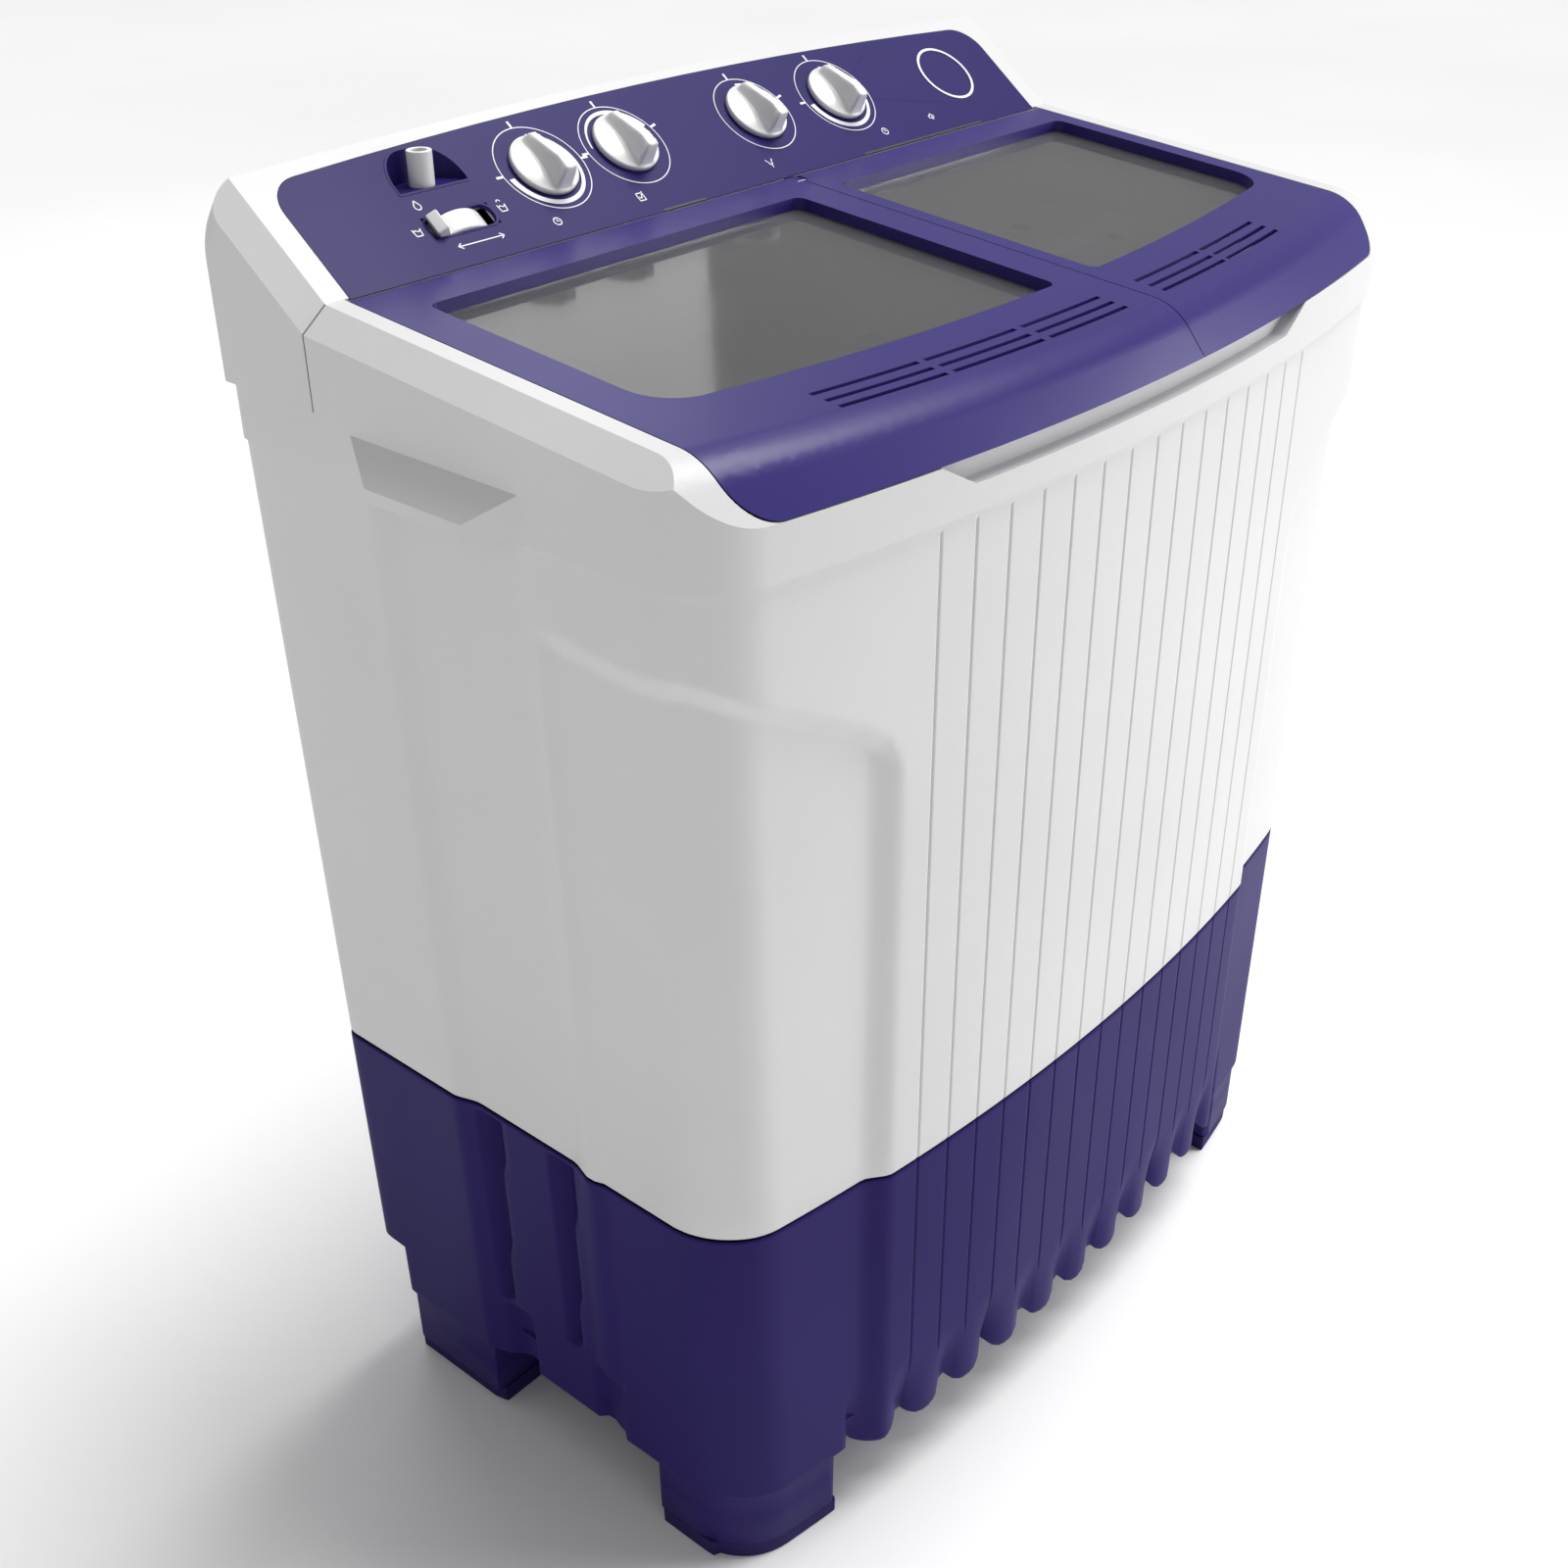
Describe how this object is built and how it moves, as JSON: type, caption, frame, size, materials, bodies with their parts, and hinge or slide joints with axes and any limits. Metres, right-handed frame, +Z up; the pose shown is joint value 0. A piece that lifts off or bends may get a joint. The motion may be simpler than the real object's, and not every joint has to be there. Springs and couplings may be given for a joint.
{
  "type": "twin tub washer",
  "caption": "Semi-automatic twin tub washing machine with a wash tub, a spin tub, windowed lids and a sloped console with dials.",
  "frame": {"origin": "on the floor under the middle of the bounding box", "axes": "+Z up, the front faces -Y, +X to the right seen from the front; wash tub on the -X side"},
  "size_m": [0.88, 0.482, 1.0441],
  "materials": {
    "white_shell": "satin",
    "violet_lid": "glossy",
    "violet_base": "satin",
    "fascia_film": "satin",
    "grey_window": "clear",
    "white_dial": "glossy",
    "silver_print": "satin",
    "tub_plastic": "satin",
    "grey_plastic": "matte",
    "black_plastic": "matte",
    "soft_rubber": "matte",
    "stainless": "brushed",
    "steel": "machined",
    "motor_paint": "satin",
    "cast_alloy": "cast"
  },
  "bodies": {
    "machine": {"base": "violet_base", "foot_pads": "soft_rubber", "cabinet": "white_shell", "rear_cover": "grey_plastic", "rear_cover_screws": "steel", "top_cover": "white_shell", "lid_hinge_pins": "steel", "console_housing": "white_shell", "console_fascia": "fascia_film", "badge_ring": "silver_print", "lever_bracket": "grey_plastic", "water_inlet": "white_dial", "cord_gland": "black_plastic", "drain_outlet": "grey_plastic", "twin_tub": "tub_plastic", "inlet_box": "grey_plastic", "inlet_duct": "grey_plastic", "wash_timer_body": "black_plastic", "wash_selector_body": "black_plastic", "drain_knob_seat": "grey_plastic", "spin_timer_body": "black_plastic", "buzzer": "black_plastic", "wash_bush": "grey_plastic", "v_belt": "soft_rubber", "wash_motor": "motor_paint", "motor_bracket": "motor_paint", "spin_seal_boot": "soft_rubber", "brake_pivot_post": "steel", "spin_motor": "motor_paint", "spin_motor_plate": "steel", "suspension_mounts": "soft_rubber", "drain_manifold": "grey_plastic", "overflow_tower": "grey_plastic", "drain_hose": "soft_rubber", "capacitor": "black_plastic"},
    "wash_lid": {"wash_lid": "violet_lid", "wash_window": "grey_window"},
    "spin_lid": {"spin_lid": "violet_lid", "spin_window": "grey_window"},
    "wash_timer": {"wash_timer_knob": "white_dial"},
    "wash_selector": {"wash_selector_knob": "white_dial"},
    "drain_selector": {"drain_knob": "white_dial"},
    "spin_timer": {"spin_timer_knob": "white_dial"},
    "inlet_lever": {"inlet_lever": "white_dial"},
    "pulsator_drive": {"pulsator": "tub_plastic", "pulsator_shaft": "steel", "wash_pulley": "grey_plastic"},
    "wash_rotor": {"wash_motor_rotor": "steel", "motor_pulley": "cast_alloy"},
    "spin_drive": {"spin_motor_rotor": "steel", "brake_drum": "steel", "spin_shaft": "steel", "spin_basket": "stainless", "balance_ring": "tub_plastic"},
    "spin_cap": {"spin_cap": "tub_plastic"},
    "drain_valve": {"drain_valve": "grey_plastic"},
    "brake_lever": {"brake_lever": "steel"},
    "lint_filter": {"lint_filter": "grey_plastic"}
  },
  "joints": [
    {"name": "wash_lid_hinge", "type": "hinge", "parent": "machine", "child": "wash_lid", "pos_m": [-0.15, 0.1375, 0.96559], "axis": [-1, 0, 0], "range_deg": [0, 95]},
    {"name": "spin_lid_hinge", "type": "hinge", "parent": "machine", "child": "spin_lid", "pos_m": [0.2, 0.1375, 0.96559], "axis": [-1, 0, 0], "range_deg": [0, 95]},
    {"name": "wash_timer_turn", "type": "hinge", "parent": "machine", "child": "wash_timer", "pos_m": [-0.1654, 0.19165, 1.008], "axis": [0, -0.606, 0.7955], "range_deg": [-270, 0]},
    {"name": "wash_selector_turn", "type": "hinge", "parent": "machine", "child": "wash_selector", "pos_m": [-0.0807, 0.1934, 1.00933], "axis": [0, -0.606, 0.7955], "range_deg": [-75, 75]},
    {"name": "drain_selector_turn", "type": "hinge", "parent": "machine", "child": "drain_selector", "pos_m": [0.0651, 0.19284, 1.00891], "axis": [0, -0.606, 0.7955], "range_deg": [-80, 0]},
    {"name": "spin_timer_turn", "type": "hinge", "parent": "machine", "child": "spin_timer", "pos_m": [0.164, 0.19205, 1.0083], "axis": [0, -0.606, 0.7955], "range_deg": [-270, 0]},
    {"name": "inlet_lever_turn", "type": "hinge", "parent": "machine", "child": "inlet_lever", "pos_m": [-0.2615, 0.19007, 0.96783], "axis": [0, 0.7955, 0.606], "range_deg": [0, 66]},
    {"name": "pulsator_spin", "type": "hinge", "parent": "machine", "child": "pulsator_drive", "pos_m": [-0.169, 0.002, 0.36], "axis": [0, 0, 1], "continuous": true},
    {"name": "wash_motor_spin", "type": "hinge", "parent": "machine", "child": "wash_rotor", "pos_m": [0.002, -0.09, 0.2], "axis": [0, 0, 1], "continuous": true},
    {"name": "spin_drive_spin", "type": "hinge", "parent": "machine", "child": "spin_drive", "pos_m": [0.212, 0.002, 0.3], "axis": [0, 0, 1], "continuous": true},
    {"name": "spin_cap_lift", "type": "slide", "parent": "spin_drive", "child": "spin_cap", "axis": [0, 0, 1], "range_m": [0, 0.06]},
    {"name": "drain_valve_lift", "type": "slide", "parent": "machine", "child": "drain_valve", "axis": [0, 0, 1], "range_m": [0, 0.0125]},
    {"name": "brake_lever_turn", "type": "hinge", "parent": "machine", "child": "brake_lever", "pos_m": [0.282, -0.075, 0.27], "axis": [0, 0, 1], "range_deg": [0, 2]},
    {"name": "lint_filter_lift", "type": "slide", "parent": "machine", "child": "lint_filter", "axis": [0, 0, 1], "range_m": [0, 0.05]}
  ],
  "couplings": [
    {"joint": "wash_motor_spin", "follows": "pulsator_spin", "ratio": 4.48},
    {"joint": "drain_valve_lift", "follows": "drain_selector_turn", "m_per_rad": -0.0086},
    {"joint": "brake_lever_turn", "follows": "spin_lid_hinge", "ratio": 0.021}
  ]
}
